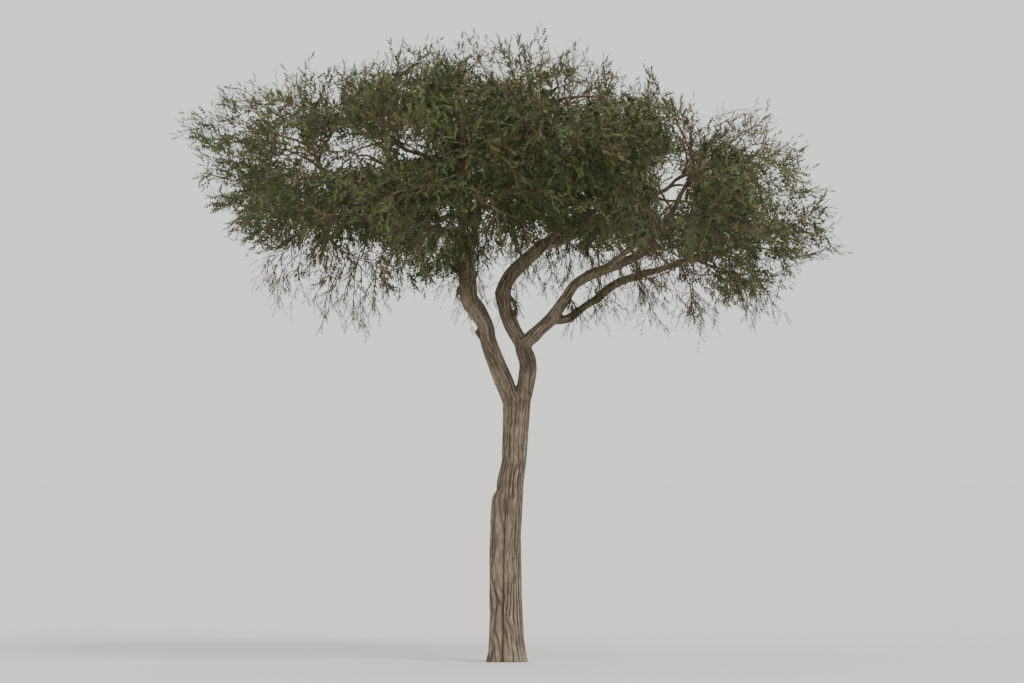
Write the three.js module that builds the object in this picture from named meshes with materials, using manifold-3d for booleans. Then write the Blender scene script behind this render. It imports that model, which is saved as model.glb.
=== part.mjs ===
// A lone savanna acacia: one leaning trunk that forks low, bare crooked boughs and a wide flat-topped
// crown. Millimetres, +Z up. The origin is on the flat cut at ground level, under the foot of the trunk.
// +X is the right of the tree as it is usually seen, and +Y is away from the viewer.
import * as THREE from "three";
import { mergeVertices } from "three/addons/utils/BufferGeometryUtils.js";
import Module from "manifold-3d";

const wasm = await Module();
wasm.setup();
const { Manifold } = wasm;

// Pieces that touch keep this much clear of each other.
const gap = 0.3;

// The crown's outline from the front, as rows of [x, height].
const crownTop = [
  [-3980, 6400],
  [-3500, 6850],
  [-2600, 7080],
  [-1500, 7320],
  [-700, 7480],
  [400, 7500],
  [1300, 7230],
  [1950, 6850],
  [2350, 6620],
  [2950, 6800],
  [3450, 6350],
  [3800, 5700],
  [4100, 5250],
];
const crownUnder = [
  [-3980, 6150],
  [-3600, 5400],
  [-3100, 4800],
  [-2300, 4450],
  [-1600, 4250],
  [-900, 4280],
  [-500, 4650],
  [200, 4900],
  [1000, 4750],
  [1500, 4400],
  [2400, 4130],
  [3100, 4250],
  [3650, 4600],
  [4100, 4900],
];
const crownLeft = crownTop[0][0];
const crownRight = crownTop[crownTop.length - 1][0];
const crownMiddle = (crownLeft + crownRight) / 2;
const crownHalfWidth = (crownRight - crownLeft) / 2;
const crownFront = 3350;
const crownBack = 3550;
// The power of the oval that closes the crown in plan and in depth: 2 is an ellipse, more is squarer.
const crownFullness = 2.4;
// The sky shows through the crown from the front here: rows of [x, height, half width, half height].
const skyWindows = [
  [1930, 5790, 170, 330],
  [-1620, 6090, 150, 120],
  [-2180, 5670, 90, 80],
];

// The trunk, as rows of [height, x, radius, depth as a share of width].
const trunkHeight = 3180;
const trunkLine = [
  [0, 10, 196, 0.96],
  [800, 2, 178, 0.96],
  [1500, 4, 166, 0.96],
  [2150, 40, 163, 0.94],
  [2400, 85, 151, 0.94],
  [2750, 104, 157, 0.88],
  [3050, 116, 166, 0.78],
  [trunkHeight, 122, 172, 0.66],
];
const trunkLevels = [
  0, 60, 150, 300, 700, 1500, 1890, 1980, 2030, 2060, 2150, 2400, 2750, 3050, trunkHeight,
];
const trunkSides = 22;
// A second stem that grew into the front left of the trunk, and broke off at a shoulder.
const ribX = -115;
const ribY = -95;
const ribRadius = 98;
const ribTop = 2060;
const ribShoulder = 170;
// The foot spreads a little, in root ridges.
const flareHeight = 170;
const flareShare = 0.2;
const flareRidges = 5;
const flareRidgeShare = 0.07;

// The bare limbs, as rows of [x, y, z, radius] along the middle of the wood. Each grows out of its
// parents, and the boughs inside the crown leave it above growsFrom.
const limbs = {
  right_stem: {
    parents: ["trunk"],
    line: [
      [175, 0, 3080, 97],
      [212, 5, 3240, 102],
      [254, 15, 3530, 109],
      [203, 18, 3715, 104],
      [190, 20, 3870, 98],
    ],
  },
  left_bough: {
    parents: ["trunk", "right_stem"],
    growsFrom: 4500,
    line: [
      [52, 0, 3080, 98],
      [-8, 0, 3272, 113],
      [-121, -15, 3548, 110],
      [-213, -30, 3804, 99],
      [-252, -45, 3990, 98],
      [-343, -60, 4160, 114],
      [-450, -80, 4336, 108],
      [-466, -95, 4522, 104],
      [-479, -110, 4690, 94],
    ],
  },
  middle_bough: {
    parents: ["right_stem"],
    line: [
      [165, 25, 3810, 88],
      [58, 40, 4005, 90],
      [-24, 80, 4230, 88],
      [-50, 120, 4430, 100],
    ],
  },
  upper_middle_bough: {
    parents: ["middle_bough"],
    growsFrom: 4700,
    line: [
      [-50, 115, 4400, 96],
      [-6, 150, 4530, 88],
      [80, 186, 4655, 86],
      [225, 234, 4790, 84],
      [400, 290, 4950, 76],
    ],
  },
  right_bough: {
    parents: ["right_stem", "middle_bough"],
    growsFrom: 4600,
    line: [
      [215, 10, 3800, 84],
      [390, -20, 3958, 82],
      [540, -60, 4105, 82],
      [688, -90, 4318, 66],
      [800, -110, 4485, 61],
      [1011, -140, 4618, 64],
      [1255, -170, 4705, 60],
      [1520, -190, 4820, 52],
    ],
  },
  lower_right_bough: {
    parents: ["right_bough"],
    growsFrom: 4500,
    line: [
      [545, -55, 4065, 52],
      [747, -20, 4103, 54],
      [940, 40, 4248, 44],
      [1072, 80, 4330, 50],
      [1216, 120, 4455, 53],
      [1378, 160, 4545, 51],
      [1561, 200, 4600, 46],
    ],
  },
};
const limbSides = 8;
const limbRingLength = 150;
// The stub of a lost branch on the left bough.
const stubLimb = "left_bough";
const stubFoot = [-250, -52, 3880];
const stubTip = [-395, -62, 3975];
const stubRadius = 36;

// Foliage stands in two rings of masses, with one more on top. Reach is a share of the crown's half
// width, lift is how far up the crown's thickness the middle of a mass lies there, and turn is the angle
// of the first one.
const rings = [
  {
    reach: 0.67,
    lift: 0.3,
    turn: 0,
    level: "low",
    places: ["right", "right_back", "back", "left_back", "left_front", "front", "right_front"],
  },
  {
    reach: 0.6,
    lift: 0.7,
    turn: Math.PI / 7,
    level: "high",
    places: ["right_back", "back", "left_back", "left", "left_front", "front", "right_front"],
  },
  { reach: 0, lift: 0.62, turn: 0, level: "top", places: ["crown"] },
];
const massHalfWidth = 1500;
const massHalfHeight = 1150;
// Each mass stays this far inside its border with the next one.
const massBorder = 14;

// Boughs inside the crown. One that carries more masses is thicker, by the square root of their number.
const boughTip = 30;
const boughFoot = 42;
const boughSides = 6;
const boughRings = 5;
// The bough ends, and the stem of its mass starts, this far before the middle of the mass.
const stemLength = 480;
// New wood leaves older wood where it is near and points the right way, and bends from that wood's
// direction.
const turnPenalty = 1.3;
const parentPull = 0.7;
const bendShare = 0.42;
// Younger wood starts at the rings of older wood, and at its tip this share of a ring's distance before
// the end.
const tipMargin = 0.1;

// The wood and sprays of one mass. Depth is how far out the tips lie as a share of the mass's space, and
// a low push gathers them near its skin.
const stem = { sides: 5, rings: 4, tip: 24 };
const branches = { tries: 12, most: 4, depth: 0.58, push: 0.1, foot: 18, tip: 16, rings: 3 };
const twigs = { tries: 60, most: 9, depth: 1, push: 0.22, radius: 8, barest: 0.2 };
// Sprays of leaves, drawn as flat blades, larger than life. The one at a twig's end has two pairs of
// lobes, as rows of [share of its length, share of its width], and the one beside it has one pair.
const spray = { length: 800, width: 420, thickness: 16 };
const endLobes = [
  [0.26, 1],
  [0.5, 0.3],
  [0.73, 0.8],
];
const sideLobes = [[0.42, 0.9]];
const sideSpray = { length: 640, turn: 0.95, from: 0.75, root: 4 };
const rollStep = 0.7;

// The irrational steps of a sequence that fills a cube evenly, without a random generator.
const evenStep = 1.2207440846057596;
const evenSteps = [1 / evenStep, 1 / evenStep ** 2, 1 / evenStep ** 3];
const seedSteps = [0.137, 0.274, 0.411];

const vec = (x, y, z) => new THREE.Vector3(x, y, z);
const mix = (a, b, t) => a + (b - a) * t;

// The value in one column of rows that are sorted by their first column.
function valueAt(rows, key, column = 1) {
  const next = rows.findIndex((row) => row[0] > key);
  if (next === 0) return rows[0][column];
  if (next < 0) return rows[rows.length - 1][column];
  const from = rows[next - 1];
  const to = rows[next];
  return mix(from[column], to[column], (key - from[0]) / (to[0] - from[0]));
}

// How much of its full reach an oval keeps at a share from its middle.
function ovalShare(share) {
  return Math.max(0, 1 - Math.abs(share) ** crownFullness) ** (1 / crownFullness);
}

// The crown's lowest and highest point above a place in plan, or null where the crown doesn't reach.
function crownSpan(x, y) {
  const depth = (y < 0 ? crownFront : crownBack) * ovalShare((x - crownMiddle) / crownHalfWidth);
  if (Math.abs(y) >= depth) return null;
  const thickness = ovalShare(y / depth);
  const top = valueAt(crownTop, x);
  const under = valueAt(crownUnder, x);
  const middle = (top + under) / 2;
  return [mix(middle, under, thickness), mix(middle, top, thickness)];
}

// Whether the outer half of a curve would close one of the windows on the sky.
function hidesSky(curve) {
  return curve.getPoints(6).slice(3).some((point) => {
    return skyWindows.some(([x, z, halfWidth, halfHeight]) => {
      return Math.hypot((point.x - x) / halfWidth, (point.z - z) / halfHeight) < 1;
    });
  });
}

// The masses of foliage: each has a name, a middle, and a seed for its twigs.
function placeMasses() {
  const masses = [];
  for (const { reach, lift, turn, level, places } of rings) {
    places.forEach((place, k) => {
      const angle = turn + (2 * Math.PI * k) / places.length;
      const x = crownMiddle + reach * crownHalfWidth * Math.cos(angle);
      const y = reach * (Math.sin(angle) < 0 ? crownFront : crownBack) * Math.sin(angle);
      const [low, high] = crownSpan(x, y);
      const middle = vec(x, y, mix(low, high, lift));
      masses.push({ name: `${place}_${level}`, middle, seed: masses.length });
    });
  }
  return masses;
}

function inCrown(point) {
  const span = crownSpan(point.x, point.y);
  return span !== null && point.z > span[0] && point.z < span[1];
}

// Whether a point lies in the space that belongs to one mass: near the mass's middle, and nearer to it
// than to any other.
function inSpace(point, mass, masses) {
  const from = point.clone().sub(mass.middle);
  if (Math.hypot(from.x / massHalfWidth, from.y / massHalfWidth, from.z / massHalfHeight) > 1) return false;
  return masses.every((other) => {
    if (other === mass) return true;
    const across = other.middle.clone().sub(mass.middle);
    return from.dot(across) / across.length() < across.length() / 2 - massBorder;
  });
}

// How far the mass reaches from its middle in one direction, in its space and in the crown, found by
// halving.
function reachOf(mass, masses, direction) {
  let inside = 0;
  let outside = 2 * massHalfWidth;
  for (let step = 0; step < 12; step++) {
    const half = (inside + outside) / 2;
    const point = mass.middle.clone().addScaledVector(direction, half);
    if (inCrown(point) && inSpace(point, mass, masses)) inside = half;
    else outside = half;
  }
  return inside;
}

// Places for branches or twigs to grow to: the first two are straight out and straight up, and the rest
// are even over the mass's space and then pushed out towards its skin.
function targetsOf(mass, masses, { tries, depth, push }, level) {
  const halfSize = vec(massHalfWidth, massHalfWidth, massHalfHeight);
  const outward = vec(mass.middle.x - crownMiddle, mass.middle.y, 1).normalize();
  const targets = [outward, vec(0, 0, 1)].map((direction) => {
    return mass.middle.clone().addScaledVector(direction, reachOf(mass, masses, direction) * depth);
  });
  for (let index = 1; targets.length < tries; index++) {
    const [u, v, w] = evenSteps.map((step, axis) => {
      return (0.5 + (mass.seed * 3 + level) * seedSteps[axis] + index * step) % 1;
    });
    const offset = vec(2 * u - 1, 2 * v - 1, 2 * w - 1).multiply(halfSize);
    const direction = offset.clone().normalize();
    const reach = reachOf(mass, masses, direction);
    const share = offset.length() / reach;
    if (share >= 1) continue;
    targets.push(mass.middle.clone().addScaledVector(direction, reach * depth * share ** push));
  }
  return targets;
}

// The curve of new wood from a place on older wood to its target.
function shoot(node, target) {
  const way = target.clone().sub(node.point);
  const lead = way.clone().normalize().addScaledVector(node.direction, parentPull).normalize();
  const bend = node.point.clone().addScaledVector(lead, way.length() * bendShare);
  return new THREE.QuadraticBezierCurve3(node.point, bend, target);
}

// The place on older wood that reaches a target best: near, and with the target ahead of it.
function bestNode(nodes, target) {
  const costOf = ({ point, direction }) => {
    const way = target.clone().sub(point);
    return way.length() * (1 + turnPenalty * (1 - way.dot(direction) / way.length()));
  };
  return nodes.reduce((best, node) => (costOf(node) < costOf(best) ? node : best));
}

// Places at the rings of wood along part of a curve, where younger wood can start.
function ringNodes(curve, [from, to], ringCount, owner) {
  return Array.from({ length: ringCount }, (_, k) => {
    const ring = k + 1 < ringCount ? k + 1 : ringCount - tipMargin;
    const share = mix(from, to, ring / ringCount);
    return { point: curve.getPoint(share), direction: curve.getTangent(share), share, owner };
  });
}

// A closed solid from a three.js geometry. Triangles that a pointed end leaves with no area are dropped.
function solidOf(geometry) {
  const bare = geometry.clone();
  bare.deleteAttribute("normal");
  bare.deleteAttribute("uv");
  const merged = mergeVertices(bare, 1e-3);
  const corners = merged.index.array;
  const kept = [];
  for (let i = 0; i < corners.length; i += 3) {
    const [a, b, c] = corners.slice(i, i + 3);
    if (a !== b && b !== c && c !== a) kept.push(a, b, c);
  }
  const vertProperties = new Float32Array(merged.attributes.position.array);
  return new Manifold(new wasm.Mesh({ numProp: 3, vertProperties, triVerts: new Uint32Array(kept) }));
}

function geometryOf(solid) {
  const mesh = solid.getMesh();
  const geometry = new THREE.BufferGeometry();
  geometry.setAttribute("position", new THREE.BufferAttribute(mesh.vertProperties, 3));
  geometry.setIndex(new THREE.BufferAttribute(mesh.triVerts, 1));
  geometry.computeVertexNormals();
  return geometry;
}

// The largest piece of a solid that cutting has left in several.
function largestOf(solid) {
  return solid.decompose().reduce((a, b) => (b.volume() > a.volume() ? b : a));
}

// A closed tube through cross-sections. Each has a centre and two directions as long as its half widths,
// and one with no width closes the tube in a point. shapeAt(k, angle) widens section k at an angle.
function tube(sections, sides, shapeAt = () => 1) {
  const geometry = new THREE.CylinderGeometry(1, 1, 1, sides, sections.length - 1);
  const place = geometry.attributes.position;
  for (let i = 0; i < place.count; i++) {
    const across = place.getX(i);
    const deep = place.getZ(i);
    const k = Math.round((place.getY(i) + 0.5) * (sections.length - 1));
    const { centre, side, depth } = sections[k];
    const shape = shapeAt(k, Math.atan2(-deep, across));
    const point = centre.clone().addScaledVector(side, across * shape).addScaledVector(depth, deep * shape);
    place.setXYZ(i, point.x, point.y, point.z);
  }
  return solidOf(geometry);
}

// Cross-sections at places along a curve, each in line with the one before it. A place is a row of
// [share of the curve, half width, half depth].
function sectionsAlong(curve, places, roll = 0) {
  const start = curve.getTangent(places[0][0]);
  const across = Math.abs(start.z) < 0.8 ? vec(0, 0, 1) : vec(1, 0, 0);
  const side = across.cross(start).applyAxisAngle(start, roll);
  return places.map(([share, halfWidth, halfDepth]) => {
    const tangent = curve.getTangent(share);
    side.addScaledVector(tangent, -side.dot(tangent)).normalize();
    const depth = side.clone().cross(tangent).multiplyScalar(halfDepth);
    return { centre: curve.getPoint(share), side: side.clone().multiplyScalar(halfWidth), depth };
  });
}

// Round wood along part of a curve. Grown makes it that much thicker and longer, to cut its neighbours.
function roundWood(curve, [from, to], radiusAt, sides, ringCount, grown = 0) {
  const places = Array.from({ length: ringCount + 1 }, (_, k) => {
    const share = mix(from, to, k / ringCount);
    const radius = radiusAt(share) + grown;
    return [share, radius, radius];
  });
  const sections = sectionsAlong(curve, places);
  sections[0].centre.addScaledVector(curve.getTangent(from), -grown);
  sections[ringCount].centre.addScaledVector(curve.getTangent(to), grown);
  return tube(sections, sides);
}

// How far the rib beside the trunk and the spread of its foot push its skin out from the plain oval.
function trunkShape(height, angle, radius, depthShare) {
  const x = Math.cos(angle) * radius;
  const y = Math.sin(angle) * radius * depthShare;
  const plain = Math.hypot(x, y);
  const fullness = Math.min(1, Math.max(0, (ribTop - height) / ribShoulder));
  const rib = ribRadius * Math.sqrt(1 - (1 - fullness) ** 2);
  const ahead = (ribX * x + ribY * y) / plain;
  const beside = (ribX * y - ribY * x) / plain;
  const ribEdge = ahead > 0 && Math.abs(beside) < rib ? ahead + Math.sqrt(rib ** 2 - beside ** 2) : 0;
  const spread = flareShare + flareRidgeShare * Math.cos(flareRidges * angle);
  return (Math.max(plain, ribEdge) / plain) * (1 + spread * Math.exp(-height / flareHeight));
}

function trunkSolid(grown = 0) {
  const sections = trunkLevels.map((height) => {
    const radius = valueAt(trunkLine, height, 2);
    const depth = radius * valueAt(trunkLine, height, 3);
    const lift = height === trunkHeight ? grown : 0;
    const centre = vec(valueAt(trunkLine, height), 0, height + lift);
    return { centre, side: vec(radius + grown, 0, 0), depth: vec(0, -depth - grown, 0) };
  });
  const shapeAt = (k, angle) => {
    const height = trunkLevels[k];
    return trunkShape(height, angle, valueAt(trunkLine, height, 2), valueAt(trunkLine, height, 3));
  };
  return tube(sections, trunkSides, shapeAt);
}

function limbCurve({ line }) {
  return new THREE.CatmullRomCurve3(line.map(([x, y, z]) => vec(x, y, z)), false, "catmullrom", 0.5);
}

// The radius of a bare limb at a share of its curve, which passes its rows at even shares.
function limbRadius({ line }, share) {
  const place = share * (line.length - 1);
  const k = Math.min(Math.floor(place), line.length - 2);
  return mix(line[k][3], line[k + 1][3], place - k);
}

function ringCountOf(curve) {
  return Math.round(curve.getLength() / limbRingLength);
}

function limbSolid(limb, grown = 0) {
  const curve = limbCurve(limb);
  return roundWood(curve, [0, 1], (share) => limbRadius(limb, share), limbSides, ringCountOf(curve), grown);
}

function stubSolid() {
  const curve = new THREE.LineCurve3(vec(...stubFoot), vec(...stubTip));
  return roundWood(curve, [0, 1], (share) => stubRadius * mix(1.3, 0.8, share), boughSides, 1);
}

// The boughs inside the crown. Each leaves a bare limb or another bough and runs to the middle of one
// mass: up to its end it is the bough, and from there on it is the stem of the mass's twigs.
function growBoughs(masses) {
  const nodes = Object.values(limbs).flatMap((limb) => {
    const curve = limbCurve(limb);
    const owner = { radiusAt: (share) => limbRadius(limb, share) };
    const limbNodes = ringNodes(curve, [0, 1], ringCountOf(curve), owner);
    return limbNodes.filter(({ point }) => point.z > limb.growsFrom);
  });
  const heart = vec(crownMiddle, 0, limbs.left_bough.growsFrom);
  const order = [...masses].sort((a, b) => a.middle.distanceTo(heart) - b.middle.distanceTo(heart));
  const boughs = order.map((mass) => {
    const node = bestNode(nodes, mass.middle);
    const curve = shoot(node, mass.middle);
    const end = 1 - stemLength / curve.getLength();
    const bough = { name: `bough_${mass.name}`, mass, node, curve, end, load: 1 };
    nodes.push(...ringNodes(curve, [0, end], boughRings, bough).slice(1, -1));
    return bough;
  });
  for (const { node, load } of [...boughs].reverse()) {
    if (node.owner.load) node.owner.load += load;
  }
  for (const bough of boughs) {
    const { owner, share: place } = bough.node;
    const foot = Math.min(boughFoot * Math.sqrt(bough.load), owner.radiusAt(place) * 0.92);
    bough.radiusAt = (share) => mix(foot, boughTip, share / bough.end);
  }
  return boughs;
}

// The share of a twig that is bare wood, before the spray at its end.
function bareShare(curve) {
  return Math.max(twigs.barest, 1 - spray.length / curve.getLength());
}

// A twig that ends in a spray: three-sided wood that flattens into a blade and closes in a point.
function twigWithSpray(curve, roll) {
  const bare = bareShare(curve);
  const halfWidth = spray.width / 2;
  const places = [
    [0, twigs.radius, twigs.radius],
    [bare, twigs.radius, twigs.radius],
    ...endLobes.map(([share, width]) => [mix(bare, 1, share), halfWidth * width, spray.thickness / 2]),
    [1, 0, 0],
  ];
  return tube(sectionsAlong(curve, places, roll), 3);
}

// The middle line of a spray beside a twig, which is rooted in the twig's bare wood.
function lineBeside(curve, turn, roll) {
  const foot = curve.getPoint(0);
  const way = curve.getPoint(bareShare(curve)).sub(foot);
  const root = foot.addScaledVector(way, sideSpray.from);
  const ahead = way.normalize();
  const beside = vec(0, 0, 1).cross(ahead).normalize().applyAxisAngle(ahead, roll);
  const direction = ahead.multiplyScalar(Math.cos(turn)).addScaledVector(beside, Math.sin(turn));
  return new THREE.LineCurve3(root, root.clone().addScaledVector(direction, sideSpray.length));
}

function sideSpraySolid(line, roll) {
  const places = [
    [0, sideSpray.root, sideSpray.root],
    ...sideLobes.map(([share, width]) => [share, (spray.width / 2) * width, spray.thickness / 2]),
    [1, 0, 0],
  ];
  return tube(sectionsAlong(line, places, roll), 3);
}

function cornersOf(solid) {
  const { vertProperties } = solid.getMesh();
  const count = vertProperties.length / 3;
  return Array.from({ length: count }, (_, i) => vec(...vertProperties.slice(3 * i, 3 * i + 3)));
}

// Grows one mass: a stem, branches on the stem, twigs on the branches, and sprays at and beside each
// twig's end. Whatever would leave the mass's space, hide the sky, or touch more than the wood it grows
// from is skipped.
function growMass({ mass, curve, end, radiusAt }, masses, wood) {
  const start = end + gap / curve.getLength();
  const stemRadius = (share) => mix(radiusAt(end), stem.tip, (share - end) / (1 - end));
  const stemSolid = roundWood(curve, [start, 1], stemRadius, stem.sides, stem.rings);
  const solids = [stemSolid];
  const add = (way, solid, parent) => {
    const fits = cornersOf(solid).every((corner) => inSpace(corner, mass, masses));
    const touches = (other) => other !== parent && !solid.intersect(other).isEmpty();
    if (!fits || hidesSky(way) || touches(wood) || solids.some(touches)) return false;
    solids.push(solid);
    return true;
  };
  const stemNodes = ringNodes(curve, [start, 1], stem.rings, stemSolid);
  const branchNodes = [];
  let count = 0;
  for (const target of targetsOf(mass, masses, branches, 1)) {
    if (count === branches.most) break;
    const node = bestNode(stemNodes, target);
    const way = shoot(node, target);
    const radiusOf = (share) => mix(branches.foot, branches.tip, share);
    const branch = roundWood(way, [0, 1], radiusOf, 3, branches.rings);
    if (!add(way, branch, node.owner)) continue;
    count++;
    stemNodes.splice(stemNodes.indexOf(node), 1);
    branchNodes.push(...ringNodes(way, [0, 1], branches.rings, branch));
  }
  count = 0;
  for (const target of targetsOf(mass, masses, twigs, 2)) {
    if (count === twigs.most || !branchNodes.length) break;
    const node = bestNode(branchNodes, target);
    const way = shoot(node, mass.middle.clone().lerp(target, 0.99));
    const roll = ((count % 3) - 1) * rollStep;
    const twig = twigWithSpray(way, roll);
    if (!add(way, twig, node.owner)) continue;
    count++;
    branchNodes.splice(branchNodes.indexOf(node), 1);
    for (const turn of [sideSpray.turn, -sideSpray.turn]) {
      const line = lineBeside(way, turn, roll);
      if (add(line, sideSpraySolid(line, roll), twig)) break;
    }
  }
  return largestOf(Manifold.union(solids));
}

// Bark of a grey brown, and small leaves of a dull olive green.
const barkMaterial = new THREE.MeshStandardMaterial({ color: "#6f6255", roughness: 0.95, metalness: 0 });
const leafMaterial = new THREE.MeshStandardMaterial({ color: "#4d5530", roughness: 0.8, metalness: 0 });

const tree = new THREE.Group();

function addPiece(name, solid, material) {
  const mesh = new THREE.Mesh(geometryOf(solid), material);
  mesh.name = name;
  tree.add(mesh);
}

// The trunk and the bare limbs, each cut clear of the older wood that it grows out of.
const wood = [trunkSolid()];
const clearance = { trunk: trunkSolid(gap) };
addPiece("trunk", wood[0], barkMaterial);
for (const [name, limb] of Object.entries(limbs)) {
  let solid = limb.parents.reduce((cut, parent) => cut.subtract(clearance[parent]), limbSolid(limb));
  solid = largestOf(name === stubLimb ? solid.add(stubSolid()) : solid);
  clearance[name] = limbSolid(limb, gap);
  wood.push(solid);
  addPiece(name, solid, barkMaterial);
}

// The boughs inside the crown, each cut clear of all the wood before it.
const masses = placeMasses();
const boughs = growBoughs(masses);
let olderWood = Manifold.union(Object.values(clearance));
for (const { name, curve, end, radiusAt } of boughs) {
  const whole = (grown) => roundWood(curve, [0, end], radiusAt, boughSides, boughRings, grown);
  const solid = largestOf(whole(0).subtract(olderWood));
  olderWood = olderWood.add(whole(gap));
  wood.push(solid);
  addPiece(name, solid, barkMaterial);
}

// The foliage, which keeps clear of every limb.
const allWood = Manifold.union(wood);
for (const bough of boughs) {
  addPiece(`foliage_${bough.mass.name}`, growMass(bough, masses, allWood), leafMaterial);
}

export default tree;
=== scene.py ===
# %% [markdown]
# # A lone savanna acacia
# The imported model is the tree's frame: a trunk, its bare limbs, fifteen boughs inside the crown and fifteen
# masses of foliage, each a plain faceted solid. This notebook gives that frame its looks. Furrowed bark goes
# over the trunk and limbs, and each mass is grown again as finer and finer wood, down to leaves. The same
# growth rule made the solids, so the fine crown has the same reach as the coarse one.

import bpy
import numpy as np
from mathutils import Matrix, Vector


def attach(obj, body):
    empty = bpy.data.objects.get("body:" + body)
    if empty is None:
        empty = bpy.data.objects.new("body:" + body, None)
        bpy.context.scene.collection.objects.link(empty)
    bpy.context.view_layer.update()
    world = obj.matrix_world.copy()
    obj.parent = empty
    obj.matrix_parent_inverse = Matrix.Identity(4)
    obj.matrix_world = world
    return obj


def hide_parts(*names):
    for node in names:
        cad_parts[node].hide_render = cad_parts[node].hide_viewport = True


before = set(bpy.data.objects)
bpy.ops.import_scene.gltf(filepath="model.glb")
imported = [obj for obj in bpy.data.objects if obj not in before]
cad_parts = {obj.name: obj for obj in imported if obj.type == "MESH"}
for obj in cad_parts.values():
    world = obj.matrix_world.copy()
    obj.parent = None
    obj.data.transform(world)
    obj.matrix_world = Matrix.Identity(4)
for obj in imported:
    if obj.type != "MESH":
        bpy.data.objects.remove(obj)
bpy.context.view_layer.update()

# %% [markdown]
# ## Lines of wood
# Wood follows lines. A bare limb was measured at a few places, so its line is a smooth curve through points.
# Younger wood only needs a start, a target and a bend between them, which is a quadratic Bezier curve. Both
# are worked out for whole arrays at once, because the crown has more than ten thousand curves.

# %% Curves through points, and curves with one bend
# Shares at which a curve is measured.
samples = np.linspace(0, 1, 201)


def unit(vectors):
    """Each vector divided by its own length."""
    return vectors / np.linalg.norm(vectors, axis=-1, keepdims=True)


def mix(a, b, share):
    """The value that lies a share of the way from a to b."""
    return a + (b - a) * share


def through(points, shares):
    """A smooth line through points, at shares of its course (Catmull-Rom). Between two points it is the cubic
    whose slope at each of them is half the step from the point before to the point after."""
    line = np.vstack([2 * points[0] - points[1], points, 2 * points[-1] - points[-2]])
    place = np.asarray(shares) * (len(points) - 1)
    k = np.clip(place.astype(int), 0, len(points) - 2)
    t = (place - k)[:, None]
    before, a, b, after = line[k], line[k + 1], line[k + 2], line[k + 3]
    slope = (b - before) * t
    curve = (2 * before - 5 * a + 4 * b - after) * t**2 + (3 * a - before - 3 * b + after) * t**3
    return a + (slope + curve) / 2


def slope_through(points, shares):
    """The direction of that line, from the step between two places close to each share."""
    near = 1e-4
    shares = np.asarray(shares)
    return unit(through(points, np.minimum(shares + near, 1)) - through(points, np.maximum(shares - near, 0)))


def bent(curves, shares):
    """Points on Bezier curves given as [start, bend, end]: each is the mean of the three, with the weights
    (1-t)(1-t), 2t(1-t) and tt at a share t."""
    t = np.asarray(shares)
    return np.stack([(1 - t) ** 2, 2 * t * (1 - t), t**2], -1) @ curves


def slope_bent(curves, shares):
    """The direction of those curves, from the derivative of the weights."""
    t = np.asarray(shares)
    return unit(np.stack([2 * t - 2, 2 - 4 * t, 2 * t], -1) @ curves)


def plane_of(curves):
    """The direction square to the plane of each curve. A little is added, because a straight one has none."""
    start, bend, end = np.moveaxis(curves, -2, 0)
    return np.cross(bend - start, end - start) + 1e-5


def length_of(line):
    """The length of a line of points: the sum of its steps."""
    return np.linalg.norm(np.diff(line, axis=0), axis=1).sum()


# %% [markdown]
# ## Random fields
# Nature is uneven, but never in jumps. A random field has a value from 0 to 1 at every point of space, which
# changes smoothly. The crown grows in clumps by one, and the bark uses several.

# %% Smooth random fields
# Odd factors that scatter the values of neighbouring corners and seeds.
corner_factors = np.array([374761393, 668265263, 974711111])
seed_factor = 362437
fold_factor = 1274126177


def smooth_step(low, high, value):
    """Goes from 0 at low to 1 at high, level at both ends: three times the square of the share less twice its
    cube."""
    t = np.clip((value - low) / (high - low), 0, 1)
    return t * t * (3 - 2 * t)


def noise(points, seed):
    """A smooth random field. Each corner of a lattice of unit cubes has a random value, made by multiplying
    and folding whole numbers. A point takes the mean of its cube's corners, weighted by nearness."""
    cell = np.floor(points).astype(np.int64)
    t = smooth_step(0, 1, points - cell)
    total = np.zeros(points.shape[:-1])
    for corner in np.ndindex(2, 2, 2):
        mixed = (((cell + corner) * corner_factors).sum(-1) + seed * seed_factor) & 0xFFFFFFFF
        mixed = ((mixed ^ (mixed >> 13)) * fold_factor) & 0xFFFFFFFF
        value = ((mixed ^ (mixed >> 16)) & 0xFFFF) / 0xFFFF
        total += value * np.prod(np.where(corner, t, 1 - t), axis=-1)
    return total


# %% [markdown]
# ## The crown's outline
# An umbrella-shaped acacia has a wide, shallow crown with a nearly flat top, and browsing animals keep its
# underside level. Here two rows of points give the top and the underside seen from the front, and an oval
# closes them in depth. Four small windows on the sky stay open, and round them the crown is thin.

# %% The crown, in metres
crown_top = np.array([
    [-3.98, 6.4], [-3.5, 6.85], [-2.6, 7.08], [-1.5, 7.32], [-0.7, 7.48], [0.4, 7.5], [1.3, 7.23],
    [1.95, 6.85], [2.35, 6.62], [2.95, 6.8], [3.45, 6.35], [3.8, 5.7], [4.1, 5.25],
])
crown_under = np.array([
    [-3.98, 6.15], [-3.6, 5.4], [-3.1, 4.8], [-2.3, 4.45], [-1.6, 4.25], [-0.9, 4.28], [-0.5, 4.65],
    [0.2, 4.9], [1.0, 4.75], [1.5, 4.4], [2.4, 4.13], [3.1, 4.25], [3.65, 4.6], [4.1, 4.9],
])
crown_middle = (crown_top[0, 0] + crown_top[-1, 0]) / 2
crown_half_width = (crown_top[-1, 0] - crown_top[0, 0]) / 2
crown_front = 3.35
crown_back = 3.55
crown_fullness = 2.4
eye_height = 2.9
eye_distance = 76.0


def oval_share(share):
    """How much of its full reach an oval keeps at a share from its middle: share and reach, each raised to
    the power of the fullness, add up to one."""
    return np.maximum(0, 1 - np.abs(share) ** crown_fullness) ** (1 / crown_fullness)


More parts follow.
